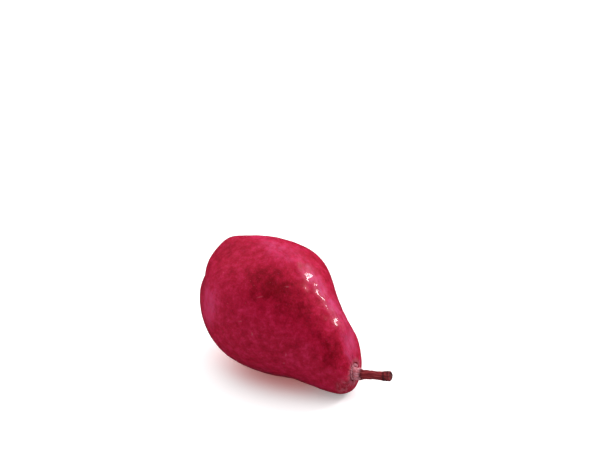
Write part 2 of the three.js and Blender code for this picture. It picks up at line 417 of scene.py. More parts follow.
def round_waves(turn, counts, seed):
    """A random closed ripple of about unit size round the axis: a sum of cosines, one for each count."""
    random = np.random.default_rng(seed)
    total = np.zeros_like(turn)
    for count in counts:
        total = total + np.cos(count * turn + random.uniform(0, 2 * math.pi)) * random.uniform(0.6, 1.0)
    return total / math.sqrt(len(counts) / 2)


def outward(points):
    """Unit normals of a grid of rings, from the cross product of its two directions of travel."""
    down = np.gradient(points, axis=0)
    sideways = (np.roll(points, -1, axis=1) - np.roll(points, 1, axis=1)) / 2
    normal = np.cross(sideways, down)
    size = np.linalg.norm(normal, axis=2, keepdims=True)
    return normal / np.maximum(size, 1e-9)


def laid_down(points):
    """Points round the pear's axis, moved into the row frame: turned down by PITCH about the belly."""
    x, y, z = points[..., 0] - BELLY_AT, points[..., 1], points[..., 2]
    return triple(
        x * math.cos(PITCH) + z * math.sin(PITCH) - BELLY_BEHIND, y,
        z * math.cos(PITCH) - x * math.sin(PITCH) + BELLY_HEIGHT)


def ring_faces(rows, columns):
    """Corner lists of a closed grid of rings with a single point at each end.

    The point before the first ring has number 0, ring r's point c has number
    1 + r * columns + c, and the point after the last ring comes last.
    """
    ring = 1 + np.arange(rows * columns).reshape(rows, columns)
    beside = np.roll(ring, -1, axis=1)
    quads = np.stack([ring[:-1], ring[1:], beside[1:], beside[:-1]], axis=-1).reshape(-1, 4)
    end_point = 1 + rows * columns
    return quads, np.concatenate([triple(0, ring[0], beside[0]), triple(end_point, beside[-1], ring[-1])])


def faces_outward(points, quads, triangles):
    """The corner lists of a closed surface, turned over where the volume they enclose is negative."""
    halves = np.concatenate([quads[:, :3], quads[:, [0, 2, 3]], triangles])
    first, second, third = points[halves[:, 0]], points[halves[:, 1]], points[halves[:, 2]]
    if (first * np.cross(second, third)).sum() < 0:
        return quads[:, ::-1], triangles[:, ::-1]
    return quads, triangles


class Shape:
    """Collects closed grids of rings, each with its own attributes, for one mesh."""

    def __init__(self):
        self.points = []
        self.values = {}
        self.quads = []
        self.triangles = []
        self.count = 0

    def add(self, rings, start, end, **values):
        """Adds rings (rows, columns, 3) between two end points, with named values of three at each point."""
        rows, columns = rings.shape[:2]
        points = np.concatenate([[start], rings.reshape(-1, 3), [end]])
        quads, triangles = faces_outward(points, *ring_faces(rows, columns))
        self.points.append(points)
        for name, value in values.items():
            whole = np.broadcast_to(value, (rows, columns, 3))
            ends = [whole[:1].mean(axis=1), whole.reshape(-1, 3), whole[-1:].mean(axis=1)]
            self.values.setdefault(name, []).append(np.concatenate(ends))
        self.quads.append(quads + self.count)
        self.triangles.append(triangles + self.count)
        self.count += rows * columns + 2
        return self

    def mesh(self, name):
        """The collected grids as one mesh, in metres in the row frame, smoothly shaded."""
        points = laid_down(np.concatenate(self.points)) * MM
        points[:, 2] = np.maximum(points[:, 2], 0.0)
        quads, triangles = np.concatenate(self.quads), np.concatenate(self.triangles)
        mesh = bpy.data.meshes.new(name)
        mesh.from_pydata(points, [], quads.tolist() + triangles.tolist())
        if mesh.validate():
            raise RuntimeError(f"the mesh of {name} had faulty faces")
        mesh.shade_smooth()
        for key, values in self.values.items():
            attribute = mesh.attributes.new(key, "FLOAT_VECTOR", "POINT")
            attribute.data.foreach_set("vector", np.concatenate(values).astype(np.float32).ravel())
        return mesh


def new_item(collection, name, *data):
    """A new item in one of the file's collections, in place of any old one of that name."""
    if name in collection:
        collection.remove(collection[name])
    return collection.new(name, *data)


def new_object(name, data):
    """A new object in the scene, in place of any old one of that name."""
    made = new_item(bpy.data.objects, name, data)
    bpy.context.scene.collection.objects.link(made)
    return made


def place_piece(name, shape, material, node):
    """Puts a piece into the scene, riding on the pear's one body and standing for its CAD node."""
    mesh = shape.mesh(name)
    mesh.materials.append(material)
    piece = new_object(name, mesh)
    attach(piece, "root")
    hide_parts(node)
    return {"FINISHED"}


def fruit_outline(fruit):
    """The fruit's outline, joined from straight lines and cubic curves, as rows (radius, along).

    It runs from the middle of the basin's floor over the belly to the middle of the socket's floor.
    Also returns the row where the calyx's seat ends and the row of the lip round the dimple.
    """
    belly_radius, waist_radius = fruit.belly_radius / MM, fruit.waist_radius / MM
    basin = fruit.basin_depth / MM
    out, up = math.sin(WAIST_SLOPE), math.cos(WAIST_SLOPE)
    seat, rim = (SEAT_RADIUS, basin), (BASIN_RADIUS, 0.0)
    belly, waist = (belly_radius, BELLY_AT), (waist_radius, WAIST_AT)
    sunk, raised = LENGTH - DIMPLE_DEPTH, LENGTH + COLLAR_RISE
    lip, dimple = (LIP_RADIUS, LENGTH), (DIMPLE_RADIUS, sunk)
    collar, mouth = (COLLAR_RADIUS, raised), (SOCKET_RADIUS, raised)
    bottom = (SOCKET_RADIUS, LENGTH - SOCKET_DEPTH)
    rows = [
        straight((0.0, basin), seat, 9),
        stretch(seat, (BASIN_WALL_FOOT, basin), (BASIN_WALL_TOP, 0.0), rim, 26),
        stretch(
            rim, (BASIN_RADIUS + BASE_FULLNESS * (belly_radius - BASIN_RADIUS), 0.0),
            (belly_radius, BELLY_AT * (1 - BELLY_FULLNESS_BELOW)), belly, 88),
        stretch(
            belly, (belly_radius, BELLY_AT + BELLY_FULLNESS_ABOVE * (WAIST_AT - BELLY_AT)),
            (waist_radius + WAIST_REACH_BELOW * out, WAIST_AT - WAIST_REACH_BELOW * up), waist, 86),
        stretch(
            waist, (waist_radius - WAIST_REACH_ABOVE * out, WAIST_AT + WAIST_REACH_ABOVE * up),
            (CROWN_FULLNESS, LENGTH + CROWN_SWELL), lip, 62),
        stretch(lip, (LIP_EDGE, LENGTH), (DIMPLE_WALL, sunk), dimple, 14),
        stretch(dimple, (COLLAR_FOOT, sunk), (COLLAR_FLANK, raised), collar, 16),
        straight(collar, mouth, 3),
        straight(mouth, bottom, 8),
        straight(bottom, (0.0, bottom[1]), 5)[:-1],
    ]
    seat_row, lip_row = (len(np.concatenate(rows[:count])) - 1 for count in (1, 5))
    return np.concatenate(rows), seat_row, lip_row


def fruit_surface(along, radius, turn):
    """The turned outline with five soft lobes, uneven growth and a leaning crown.

    A lobe is a cosine of five turns that fades along the belly; it widens the radius and pushes the
    base out. A swelling adds its height times a bell curve of the distance from its middle. The
    crown leans by a share of the radius on one side.
    """
    lobe = np.cos(LOBES * (turn - LOBE_TURN)) * smooth(1 - (along - LOBE_FROM) / (LOBE_REACH - LOBE_FROM))
    fade = smooth(radius / SWELLING_INNER_RADIUS)
    swollen = radius * (1 + LOBE_DEPTH * lobe)
    for at, middle, height, spread in SWELLINGS:
        sideways = turn_from(turn, middle) * np.maximum(radius, SWELLING_INNER_RADIUS)
        swollen = swollen + height * fade * np.exp(-((along - at) ** 2 + sideways ** 2) / (2 * spread ** 2))
    lean = smooth((along - CROWN_FROM) / (LENGTH - CROWN_FROM)) * CROWN_LEAN * radius
    rise = LOBE_RISE * lobe * np.minimum(radius / LOBE_RISE_RADIUS, 1)
    return round_axis(along + lean * np.cos(turn - CROWN_TURN) - rise, swollen, turn)


def fruit_shape(fruit, sides=256):
    """The fruit: its surface, moved along its normal by skin relief and by folds round both ends.

    The folds are closed ripples round the axis. Those of the blossom end fade with the distance
    from the seat of the calyx, and those of the stem end with the distance from the lip.
    """
    outline, seat_row, lip_row = fruit_outline(fruit)
    travel = travelled(outline)
    from_seat = (travel - travel[seat_row])[:, None]
    from_lip = (travel[lip_row] - travel)[:, None]
    turn = turns(sides)
    radius, along = outline[:, :1], outline[:, 1:]
    points = fruit_surface(along, radius, turn)
    normal = outward(points)
    open_skin = smooth(from_seat / 6) * smooth((from_lip + 3) / 4)
    sideways = turn_from(turn, RELIEF_TURN) * radius
    near = smooth(2 - np.hypot(along - RELIEF_AT, sideways) / RELIEF_REACH)
    open_skin = open_skin * (RELIEF_ELSEWHERE + (1 - RELIEF_ELSEWHERE) * near)
    relief = sum(height * ripples(points, wavelength, seed) for wavelength, height, seed in SKIN_RELIEF)
    basin_folds = BASIN_FOLDS * round_waves(turn, (10, 13, 16, 21), 21) * between(from_seat, *BASIN_FOLD_SPAN)
    crown_folds = CROWN_FOLDS * round_waves(turn, (9, 13, 19, 26), 22) * between(from_lip, *CROWN_FOLD_SPAN)
    moved = points + normal * (fruit.relief * relief * open_skin + basin_folds + crown_folds)[..., None]
    start, end = ((points[row, :, 0].mean(), 0.0, 0.0) for row in (0, -1))
    return Shape().add(
        moved, start, end, grain=round_axis(along, 1.0, turn), ends=triple(from_seat, from_lip, radius))


def stem_line(stem):
    """The stem's middle line as rows of points: straight in the socket, one quadratic bend, then straight."""
    root = np.array([LENGTH - STEM_ROOT_DEPTH, 0.0, 0.0])
    mouth = np.array([LENGTH - STEM_MOUTH, 0.0, 0.0])
    heading = np.array(towards(STEM_SWING, STEM_RISE))
    knee = mouth + (STEM_BEND / 2, 0.0, 0.0)
    bend_end = knee + heading * STEM_BEND / 2
    cut = bend_end + heading * (stem.length / MM - STEM_BEND)
    share = np.linspace(0, 1, 60)[:, None]
    bend = (1 - share) ** 2 * mouth + 2 * share * (1 - share) * knee + share ** 2 * bend_end
    return np.concatenate([np.linspace(root, mouth, 30)[:-1], bend, straight(bend_end, cut, 89)])


def carried(line, along, radius, turn):
    """Points round a line: at each distance along it, a radius away at a turn from level to upright."""
    travel = travelled(line)
    held = np.clip(along, 0.0, travel[-1])
    middle, ahead = (
        triple(*(np.interp(held, travel, rows[:, axis]) for axis in range(3)))
        for rows in (line, np.gradient(line, axis=0)))
    ahead = unit(ahead)
    across = unit((0.0, 1.0, 0.0) - ahead * ahead[..., 1:2])
    over = np.cross(ahead, across)
    return middle + across * (radius * np.cos(turn))[..., None] + over * (radius * np.sin(turn))[..., None]


def stem_shape(stem, rows=260, sides=96):
    """The stem: a ridged round section carried along its line, with a knobbed and rough cut end.

    The radius follows the named radii smoothly. Lengthwise ridges are closed ripples round the
    section that wander with the distance along the stem, and the knob has ring-shaped wrinkles.
    The cut end is a face of shrinking rings that dips towards the pith.
    """
    line = stem_line(stem)
    length = travelled(line)[-1]
    turn = turns(sides)
    along = np.linspace(0.0, length, rows)[:, None]
    plain = np.interp(along[:, 0], STEM_STATIONS, STEM_RADII)
    window = np.hanning(11)
    plain = np.convolve(np.pad(plain, 5, mode="edge"), window / window.sum(), mode="valid")[:, None]
    grain = round_axis(along, 1.0, turn)
    ridges = 1 - 0.05 * (0.5 - 0.5 * np.cos(3 * turn))
    lengthwise = stem_relief(grain, *BARK_RIDGES) + stem_relief(grain, *FINE_RIDGES)
    knob = smooth((along - (length - STEM_KNOB)) / 1.6)
    rings = knob * stem_relief(grain, *KNOB_RINGS)
    pleats = STEM_PLEATS * between(along, *STEM_PLEAT_SPAN) * round_waves(turn, (11, 14, 18), 36)
    radius = plain * ridges + lengthwise + rings + stem_relief(grain, *BARK_LUMPS) + pleats
    edge = smooth((along - (length - STEM_EDGE)) / STEM_EDGE)
    radius = radius * (1 - 0.16 * edge ** 2)
    skin = carried(line, along + 0 * turn, radius, turn)
    share = np.linspace(1.0, 0.0, 22)[1:-1, None]
    face_grain = round_axis(length + 1 - share, share, turn)
    rough = stem_relief(face_grain, *ROUGH_CUT) * smooth((1 - share) * 4)
    dip = STEM_CUT_HOLLOW * smooth((1 - share) * 1.6) + PITH_DEPTH * smooth(1 - share / 0.22)
    ahead = unit(line[-1] - line[-2])
    flat = carried(line, length + 0 * share * turn, radius[-1:] * share, turn)
    face = flat + (rough - dip)[..., None] * ahead
    cut = np.concatenate([0 * along, 1 - share + 0.001])
    ends = triple(np.concatenate([along, length + 0 * share]), cut, 0 * turn)
    pith = line[-1] - ahead * (STEM_CUT_HOLLOW + PITH_DEPTH)
    return Shape().add(
        np.concatenate([skin, face]), line[0], pith, grain=np.concatenate([grain, face_grain]), ends=ends)


def tube(path, half_width, half_thickness, side, sides):
    """A closed flattened tube: an oval section carried along a path, wide towards side at each row."""
    ahead = unit(np.gradient(path, axis=0))
    side = unit(side - ahead * (side * ahead).sum(axis=1, keepdims=True))
    over = np.cross(ahead, side)
    angle = turns(sides)[..., None]
    return path[:, None] + side[:, None] * half_width[:, None, None] * np.cos(angle) \
        + over[:, None] * half_thickness[:, None, None] * np.sin(angle)


def add_cup(shape, floor):
    """Adds the calyx's cup: an outline turned round the axis, with ripples in its radius and its height."""
    turn = turns(72)
    profile = np.concatenate([stretch(*corners, count) for corners, count in CUP_CURVES])
    radius, along = profile[:, :1], floor - profile[:, 1:]
    wrinkled = radius * (1 + 0.035 * round_waves(turn, (10, 17, 25), 42))
    sunk = along + 0.12 * round_waves(turn, (5, 11, 19), 43) * smooth(radius / 2)
    shape.add(
        round_axis(sunk, wrinkled, turn), (floor - 0.5, 0.0, 0.0), (floor, 0.0, 0.0),
        grain=round_axis(radius, 1.0, turn), ends=np.zeros(3))


def add_sepals(shape, calyx, floor, random):
    """Adds five curled sepals: flattened tubes that climb out of the cup and bend outwards to a point."""
    share = np.linspace(0, 1, 34)
    angle = turns(20)
    up = (1.0, 0.0, 0.0)
    for number in range(LOBES):
        middle = LOBE_TURN + 2 * math.pi * number / LOBES + random.uniform(-0.08, 0.08)
        reach = calyx.reach / MM * random.uniform(0.93, 1.0)
        rise = SEPAL_RISE * random.uniform(0.82, 1.0)
        curl = random.uniform(0.5, 1.1)
        twist = random.uniform(-0.5, 0.5)
        path_radius = SEPAL_FOOT_RADIUS + (reach - SEPAL_FOOT_RADIUS) * share ** 1.25
        path_along = floor - SEPAL_FOOT_HEIGHT - (rise - SEPAL_FOOT_HEIGHT) * np.sin(share ** 0.8 * 2.2) \
            + curl * smooth((share - 0.7) / 0.3) * 0.8
        sway = middle + 0.10 * np.sin(share * 4 + number) * share
        path = round_axis(path_along, path_radius, sway)
        side = round_axis(np.sin(twist * share), np.cos(twist * share), sway + math.pi / 2)
        crinkle = 1 + 0.10 * np.sin(share * 19 + number)
        half_width = SEPAL_HALF_WIDTH * (1 - share ** 1.7) ** 0.75 * crinkle + 0.05
        half_thick = SEPAL_HALF_THICKNESS * (1 - 0.6 * share) + 0.05
        crease = SEPAL_CREASE * half_width[:, None] * np.cos(angle) ** 2
        rings = tube(path, half_width, half_thick, side, 20) - crease[..., None] * up
        rings = rings + 0.05 * ripples(rings, 1.1, 50 + number)[..., None] * up
        grain = triple(share[:, None] * 6, np.cos(angle) * 0.5 + number, np.sin(angle) * 0.2)
        ends = triple(share[:, None], np.cos(angle) ** 2, 0.0)
        shape.add(rings, path[0], 2 * path[-1] - path[-2], grain=grain, ends=ends)


def add_stamens(shape, floor, random):
    """Adds a tuft of withered stamens: thin tubes along bent lines, each with a swollen head."""
    share = np.linspace(0, 1, 16)
    for number in range(STAMENS):
        foot = random.uniform(0, 2 * math.pi)
        base = random.uniform(0.2, 1.9)
        lean = random.uniform(-0.2, 0.9)
        tall = random.uniform(1.1, 2.3)
        bend = random.uniform(-1.2, 1.2)
        path_radius = base + lean * share ** 1.4
        path = round_axis(floor - STAMEN_FOOT_HEIGHT - tall * share, path_radius, foot + bend * share ** 2)
        head = np.exp(-((share - 0.9) / 0.09) ** 2)
        thick = STAMEN_RADIUS + STAMEN_HEAD_SWELL * head
        side = np.array([0.1, math.cos(foot), math.sin(foot)])
        tip = path[-1] + (path[-1] - path[-2]) * 0.5
        grain, ends = triple(share[:, None] * 3, number, 0.0), triple(head[:, None], 0.0, 1.0)
        shape.add(tube(path, thick, thick * 0.8, side, 8), path[0], tip, grain=grain, ends=ends)


def calyx_shape(calyx):
    """The calyx: a wrinkled cup, five curled dried sepals and a tuft of withered stamens."""
    random = np.random.default_rng(41)
    floor = BASIN_DEPTH - CALYX_GAP
    shape = Shape()
    add_cup(shape, floor)
    add_sepals(shape, calyx, floor, random)
    add_stamens(shape, floor, random)
    return shape


# ---------------------------------------------------------------- materials

class Nodes:
    """Short ways to add nodes to one tree. Each returns the socket that the next step reads."""

    def __init__(self, tree):
        self.tree = tree
        tree.nodes.clear()

    def add(self, kind, inputs=(), **settings):
        """Adds a node with its settings and inputs, which are values or sockets, and returns it."""
        node = self.tree.nodes.new(kind)
        for name, value in settings.items():
            setattr(node, name, value)
        for key, value in dict(inputs).items():
            if isinstance(value, bpy.types.NodeSocket):
                self.tree.links.new(value, node.inputs[key])
            else:
                node.inputs[key].default_value = value
        return node

    def math(self, operation, *values, clamp=False):
        """One step of arithmetic."""
        return self.add("ShaderNodeMath", enumerate(values), operation=operation, use_clamp=clamp).outputs[0]

    def chain(self, operation, first, *others):
        """A step of arithmetic carried on through all the values."""
        for other in others:
            first = self.math(operation, first, other)
        return first

    def times(self, *factors):
        """The product of all the factors."""
        return self.chain("MULTIPLY", *factors)

    def most(self, *values):
        """The largest of the values."""
        return self.chain("MAXIMUM", *values)

    def plus(self, base, *parts, clamp=False):
        """The base plus each part, where a part is given as its factors."""
        for *factors, last in parts:
            base = self.math("MULTIPLY_ADD", self.times(*factors), last, base, clamp=clamp)
        return base

    def vector(self, operation, *vectors, output="Vector"):
        """One step of vector arithmetic."""
        return self.add("ShaderNodeVectorMath", enumerate(vectors), operation=operation).outputs[output]

    def ramp(self, value, low, high, start=0.0, end=1.0):
        """A smooth step from start at low to end at high."""
        return self.add("ShaderNodeMapRange", {
            "Value": value, "From Min": low, "From Max": high, "To Min": start, "To Max": end,
        }, interpolation_type="SMOOTHSTEP").outputs["Result"]

    def mix(self, share, first, second):
        """Two colours mixed by a share. A colour is a socket or three numbers."""
        first, second = (
            colour if isinstance(colour, bpy.types.NodeSocket) else (*colour, 1.0)
            for colour in (first, second))
        return self.add("ShaderNodeMix", {0: share, 6: first, 7: second}, data_type="RGBA").outputs[2]

    def layers(self, colour, *layers):
        """A colour with others laid over it in order, each given as itself and the factors of its share."""
        for over, *factors in layers:
            colour = self.mix(self.times(*factors), colour, over)
        return colour

    def noise(self, vector, scale, detail=3.0, roughness=0.5, distortion=0.0):
        """Cloud-like noise between 0 and 1."""
        return self.add("ShaderNodeTexNoise", {
            "Vector": vector, "Scale": scale, "Detail": detail,
            "Roughness": roughness, "Distortion": distortion,
        }).outputs["Fac"]

    def attribute(self, name):
        """The mesh's own vector attribute of that name."""
        return self.add("ShaderNodeAttribute", attribute_name=name).outputs["Vector"]

    def split(self, vector):
        """The three parts of a vector."""
        return self.add("ShaderNodeSeparateXYZ", {0: vector}).outputs

    def group(self, name, *inputs):
        """The output of a shared node group, with its inputs in the order in which the group names them."""
        tree = bpy.data.node_groups.get(name) or SHARED_GROUPS[name]()
        return self.add("ShaderNodeGroup", enumerate(inputs), node_tree=tree).outputs[0]


def new_group(name, output, **inputs):
    """A node group with one output, a vector and the given inputs, as (its nodes, its inner inputs)."""
    tree = bpy.data.node_groups.new(name, "ShaderNodeTree")
    nodes = Nodes(tree)
    tree.interface.new_socket("Vector", in_out="INPUT", socket_type="NodeSocketVector")
    for key, value in inputs.items():
        tree.interface.new_socket(key, in_out="INPUT", socket_type="NodeSocketFloat").default_value = value
    tree.interface.new_socket(output, in_out="OUTPUT", socket_type="NodeSocketFloat")
    return nodes, nodes.add("NodeGroupInput").outputs


def close_group(nodes, result):
    """Links a group's result to its output and returns the group's tree."""
    nodes.add("NodeGroupOutput", {0: result})
    return nodes.tree


def clouds_group():
    """Soft cloudy blotches of a given size in millimetres, with a share of finer cloud inside them."""
    nodes, inner = new_group("Clouds", "Cloud", Size=5.0, Low=0.35, High=0.65)
    scale = nodes.math("DIVIDE", 1.0, inner["Size"])
    cloud = nodes.noise(inner["Vector"], scale, detail=4.0, roughness=0.55, distortion=0.25)
    return close_group(nodes, nodes.ramp(cloud, inner["Low"], inner["High"]))


def fibres_group():
    """Thin streaks along a piece: noise that is stretched along the first part of the grain vector."""
    nodes, inner = new_group("Fibres", "Fibre", Length=20.0, Fineness=20.0, Low=0.35, High=0.65)
    parts = nodes.split(inner["Vector"])
    combined = nodes.add("ShaderNodeCombineXYZ", {
        0: nodes.math("DIVIDE", parts[0], inner["Length"]),
        1: nodes.times(parts[1], inner["Fineness"]),
        2: nodes.times(parts[2], inner["Fineness"]),
    }).outputs[0]
    streak = nodes.noise(combined, 1.0, detail=3.0, roughness=0.6)
    return close_group(nodes, nodes.ramp(streak, inner["Low"], inner["High"]))


def dots_group():
    """Scattered round dots, one in a share of the cells of a pattern, of a given spacing and radius."""
    nodes, inner = new_group("Dots", "Dot", Spacing=3.0, Radius=0.3, Kept=0.6)
    scale = nodes.math("DIVIDE", 1.0, inner["Spacing"])
    cells = nodes.add("ShaderNodeTexVoronoi", {"Vector": inner["Vector"], "Scale": scale})
    distance = nodes.times(cells.outputs["Distance"], inner["Spacing"])
    chance = nodes.add("ShaderNodeSeparateColor", {0: cells.outputs["Color"]}).outputs[0]
    size = nodes.times(inner["Radius"], nodes.plus(0.6, (chance, 0.8)))
    dot = nodes.ramp(distance, size, nodes.times(size, 0.35))
    return close_group(nodes, nodes.times(dot, nodes.math("LESS_THAN", chance, inner["Kept"])))


SHARED_GROUPS = {"Clouds": clouds_group, "Fibres": fibres_group, "Dots": dots_group}


def new_material(name):
    """An empty node material, as (material, its nodes)."""
    material = new_item(bpy.data.materials, name)
    material.use_nodes = True
    return material, Nodes(material.node_tree)


def finish_material(nodes, colour, roughness, height, shader):
    """Ends a material: a Principled BSDF with a bump whose height is in mm, and other named values."""
    bump = nodes.add("ShaderNodeBump", {"Strength": 1.0, "Distance": MM, "Height": height})
    surface = nodes.add("ShaderNodeBsdfPrincipled", {
        "Base Color": colour, "Roughness": roughness, "Normal": bump.outputs[0], **shader})
    nodes.add("ShaderNodeOutputMaterial", {"Surface": surface.outputs[0]})


def pear_space(nodes):
    """Object coordinates in millimetres, turned so that the first runs along the pear's axis."""
    place = nodes.add("ShaderNodeTexCoord").outputs["Object"]
    x, z = -BELLY_BEHIND, BELLY_HEIGHT
    shift = (
        BELLY_AT - (x * math.cos(PITCH) - z * math.sin(PITCH)),
        0.0,
        -(x * math.sin(PITCH) + z * math.cos(PITCH)),
    )
    return nodes.add("ShaderNodeMapping", {
        "Vector": place, "Location": shift, "Rotation": (0.0, -PITCH, 0.0), "Scale": (1 / MM,) * 3,
    }).outputs[0]


def patch(nodes, place, middle, half, turned=(0.0, 0.0, 0.0), inner=0.0, outer=1.0):
    """A soft oval patch, given by its middle, half sizes and turn.

    It is 1 within the inner share of its half sizes, and 0 beyond the outer share of them.
    """
    local = nodes.add("ShaderNodeMapping", {
        "Vector": place, "Location": middle, "Rotation": turned, "Scale": half,
    }, vector_type="TEXTURE").outputs[0]
    return nodes.ramp(nodes.vector("LENGTH", local, output="Value"), outer, inner)


def skin_material(fruit):
    """The fruit's skin: crimson with darker and paler fields, bloom, streaks, pores and scuffs, and painted
    sheen, light, highlight and shade.
    """
    material, nodes = new_material("Pear skin")
    plus, times, ramp, noise, group = nodes.plus, nodes.times, nodes.ramp, nodes.noise, nodes.group
    place = pear_space(nodes)
    grain, ends = nodes.attribute("grain"), nodes.split(nodes.attribute("ends"))
    from_seat, from_lip = ends[0], ends[1]
    wobble = nodes.add("ShaderNodeTexNoise", {"Vector": place, "Scale": 0.11, "Detail": 2.0}).outputs["Color"]
    wobble = nodes.vector("SUBTRACT", wobble, (0.5, 0.5, 0.5))
    warped = nodes.vector("MULTIPLY_ADD", wobble, (SKIN_WARP,) * 3, place)
    large = group("Clouds", warped, 12.0, 0.42, 0.58)
    middle = group("Clouds", warped, 4.6, 0.42, 0.62)
    streak = group("Fibres", grain, 26.0, 17.0, 0.42, 0.68)
    vein = group("Fibres", grain, 12.0, 24.0, 0.42, 0.60)
    mottle = noise(place, 0.26, detail=5.0, roughness=0.80)
    bloom_mottle = noise(nodes.vector("ADD", place, (60.0, 0.0, 0.0)), 0.22, detail=5.0, roughness=0.80)
    fleck = noise(nodes.vector("ADD", place, (0.0, 90.0, 0.0)), 1.3, detail=3.0, roughness=0.8)

    # Large fields of colour and of painted light, each by its middle and half sizes.
    band = patch(nodes, warped, (44, -15, 26), (25, 11, 14), FIELD_TILT)
    neck_band = patch(nodes, warped, (80.5, -10, 11), (16, 8, 12), FIELD_TILT)
    shoulder = patch(nodes, warped, (9, -12, 17), (12, 10, 10))
    core = patch(nodes, place, (40, -22, 23), (9, 8, 8))
    ridge = patch(nodes, place, (60, -11, 22), (20, 6, 7), RIDGE_TILT)
    # Painted light: the crest field's brighter red on the top is partly its own colour and partly painted
    # light where the top is lit.
    crest = patch(nodes, place, (15, 5, 26), (9, 8, 8))
    cheek = patch(nodes, place, (68, -21, 2), (11, 8, 7))
    # Painted sheen: a pale pink halo round the key's highlights on the back of the neck, added to the tone
    # and the bloom.
    painted_sheen_halo = patch(nodes, place, (55, 3.5, 26), (22, 8, 8), FIELD_TILT)
    hollow = patch(nodes, place, (71, -10.5, 17), (8, 4.5, 5), FIELD_TILT)
    # Painted sheen and light: the top field is pink bloom, and it also stands in for the sheen and the
    # brighter light on the top.
    top = patch(nodes, warped, (30, 3, 33), (26, 12, 10))
    # Painted light and sheen: the base field brightens and pinks the left flank, standing in for the soft
    # side light and its sheen there, and is partly bloom.
    base = patch(nodes, warped, (20, -25, 1), (14, 11, 16))
    # Painted sheen: the far flank field is pink bloom with dark streaks, and it also stands in for the sheen
    # along the line of the highlights.
    far_flank = patch(nodes, warped, (68, 7, 17), (34, 10, 16))

    # The fields and a fine mottle set the tone, from deep red over crimson to scarlet, and the bloom. The
    # pale fields, the crest and the halo also put painted light into the tone and painted sheen into the
    # bloom.
    dark = nodes.most(band, times(neck_band, 0.8), times(shoulder, 0.4))
    dark = plus(dark, (nodes.most(ridge, hollow), 0.6), (core, 0.5))
    pale = nodes.most(times(top, 0.8), times(base, 0.9), times(far_flank, 0.8))
    tone = plus(
        -0.45, (mottle, 1.9), (dark, -0.50), (pale, 0.28), (crest, 0.28), (cheek, 0.168),
        (base, 0.2), (painted_sheen_halo, 0.2), (far_flank, vein, -0.35))
    bloom_and_sheen = plus(times(pale, 0.38), (painted_sheen_halo, 0.5))
    bloom_and_sheen = times(bloom_and_sheen, ramp(bloom_mottle, 0.36, 0.70, 0.05, 1.7))
    bloom_and_sheen = plus(bloom_and_sheen, (streak, far_flank, 0.25), (ramp(fleck, 0.56, 0.78), 0.30), clamp=True)

    # The side that grew in the shade shows its yellow ground through dense red speckles.
    sun = (0.0, math.cos(SUN_TURN), math.sin(SUN_TURN))
    sunlit = plus(nodes.vector("DOT_PRODUCT", grain, sun, output="Value"), (large, 0.14), (mottle, 1.3))
    shade = times(ramp(sunlit, 0.25, -0.40), ramp(nodes.split(place)[0], 84.0, 66.0))
    speckle = group("Clouds", place, 0.9, 0.36, 0.70)
    colour = nodes.layers(
        fruit.deep,
        (fruit.crimson, ramp(tone, -0.1, 0.55)),
        (fruit.scarlet, ramp(tone, 0.40, 0.95)),
        (fruit.pink, bloom_and_sheen),
        (fruit.ground, shade, plus(0.72, (speckle, -0.40))))

    # The blossom end has a yellow flush with a net of russet.
    seat = ramp(plus(from_seat, (middle, 2.0), (mottle, 9.0)), 14.5, 6.5)
    net = nodes.add("ShaderNodeTexVoronoi", {"Vector": warped, "Scale": 0.9}, feature="DISTANCE_TO_EDGE")
    russet = times(seat, plus(0.2, (ramp(net.outputs[0], 0.22, 0.02), 0.45)))
    colour = nodes.layers(colour, (fruit.ground, seat, 0.6), (fruit.russet, russet))

    # The stem end has dull pink creases below, a pink shoulder, a dusty lip, russet in the dimple and a pale
    # collar. The lip's pale pink is partly a painted highlight, and the russet in the dimple's groove partly
    # painted shade.
    under = patch(nodes, warped, (93, -7, -4), (9, 11, 11))
    pink_shoulder = patch(nodes, warped, (84, 3, 10), (12, 9, 8))
    fine_streak = group("Fibres", grain, 9.0, 34.0, 0.40, 0.62)
    fold = group("Fibres", grain, 0.75, 5.0, 0.42, 0.60)
    crease = group("Fibres", nodes.vector("ADD", grain, (40.0, 0.0, 0.0)), 0.9, 4.0, 0.46, 0.60)
    lip = times(ramp(from_lip, 2.6, 0.2), ramp(from_lip, -1.0, -0.4))
    colour = nodes.layers(
        colour,
        (fruit.dusty, under, plus(0.18, (crease, 0.75))),
        (fruit.deep, under, fold, 0.75),
        (fruit.pink, pink_shoulder, plus(0.25, (fine_streak, 0.55))),
        # Painted highlight on the lip and painted shade in the dimple's groove, over their dusty pink and
        # russet.
        (fruit.dusty, lip, plus(0.45, (streak, 0.4))),
        (fruit.russet, ramp(from_lip, -0.7, -1.5), 0.55),
        (fruit.collar, ramp(from_lip, -1.9, -2.6), 0.9))

    # Pores, and scuffs on the skin unrolled round the axis.
    pore = group("Dots", place, 2.6, 0.26, 0.75)
    parts = nodes.split(grain)
    round_skin = times(nodes.math("ARCTAN2", parts[2], parts[1]), BELLY_RADIUS)
    unrolled = nodes.add("ShaderNodeCombineXYZ", {0: parts[0], 1: round_skin}).outputs[0]
    scuff = 0.0
    for along, turn, half, heading, strength in SCUFFS:
        mark = patch(nodes, unrolled, (along, turn * BELLY_RADIUS, 0.0), (*half, 1.0), (0.0, 0.0, heading))
        scuff = plus(scuff, (mark, strength))
    colour = nodes.layers(
        colour, (fruit.lenticel, pore, 0.28), (fruit.collar, scuff, ramp(fleck, 0.35, 0.62)))

